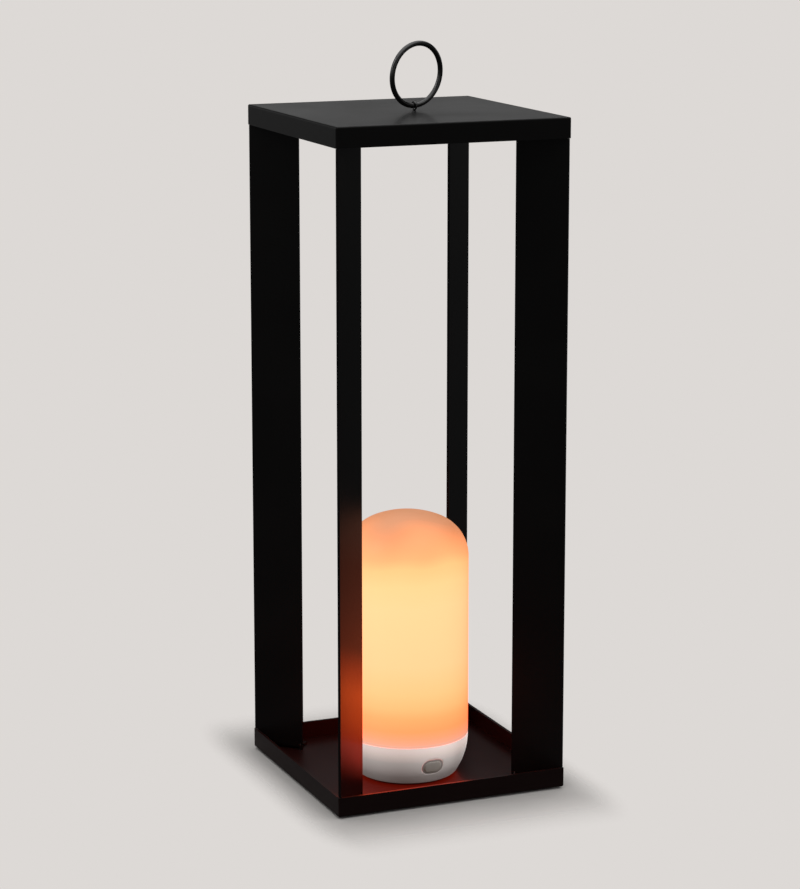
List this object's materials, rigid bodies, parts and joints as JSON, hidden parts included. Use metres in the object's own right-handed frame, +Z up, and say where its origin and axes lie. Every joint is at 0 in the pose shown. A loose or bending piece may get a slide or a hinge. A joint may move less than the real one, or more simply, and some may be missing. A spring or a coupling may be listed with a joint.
{
  "type": "lantern table lamp",
  "caption": "Square black metal lantern with diagonal flat-bar uprights and a top ring, holding a loose glowing rechargeable lamp with an opal domed diffuser.",
  "frame": {"origin": "on the table, under the middle of the square lantern", "axes": "+Z up; +X to the right along the front face; -Y to the front, where the lamp's button looks"},
  "size_m": [0.18, 0.18, 0.5506],
  "materials": {
    "frame_paint": "satin black powder coat",
    "ring_paint": "satin black",
    "zinc": "zinc plated",
    "contact_metal": "plain nickel",
    "foot_rubber": "matt",
    "seal_rubber": "matt",
    "button_rubber": "soft matt",
    "white_plastic": "fine matt",
    "opal_plastic": "opal, glowing",
    "led_strip": "white strip with yellow chips",
    "cell_sleeve": "shrink sleeve",
    "circuit_board": "solder mask",
    "black_plastic": "moulded"
  },
  "bodies": {
    "lantern": {"base_tray": "frame_paint", "top_cover": "frame_paint", "upright_front_left": "frame_paint", "upright_front_right": "frame_paint", "upright_back_right": "frame_paint", "upright_back_left": "frame_paint", "tray_screws": "zinc", "cover_studs": "zinc", "cover_nuts": "zinc", "foot_pads": "foot_rubber", "ring_eye": "ring_paint", "eye_washer": "zinc"},
    "ring": {"carry_ring": "ring_paint"},
    "lamp": {"lamp_base": "white_plastic", "base_plate": "white_plastic", "base_plate_screws": "zinc", "rubber_foot": "foot_rubber", "diffuser": "opal_plastic", "light_deck": "white_plastic", "deck_screws": "zinc", "light_column": "white_plastic", "column_screws": "zinc", "led_strips": "led_strip", "column_cap": "white_plastic", "battery_cell": "cell_sleeve", "battery_contacts": "contact_metal", "control_board": "circuit_board", "charging_socket": "contact_metal", "socket_tongue": "black_plastic", "switch_board": "circuit_board", "push_switch": "black_plastic", "button_seal": "seal_rubber"},
    "button": {"power_button": "button_rubber", "switch_plunger": "black_plastic"}
  },
  "joints": [
    {"name": "ring_swing", "type": "hinge", "parent": "lantern", "child": "ring", "pos_m": [0.0065, 0, 0.5034], "axis": [0.9537, 0.3007, 0], "range_deg": [-96, 84]},
    {"name": "lamp_lift_out", "type": "slide", "parent": "lantern", "child": "lamp", "axis": [0, -0.8191, 0.5736], "range_m": [0, 0.165]},
    {"name": "button_press", "type": "slide", "parent": "lamp", "child": "button", "axis": [-0.0583, 0.9528, 0.298], "range_m": [0, 0.0006], "stiffness_N_per_m": 1500, "springref_m": -0.0004}
  ]
}
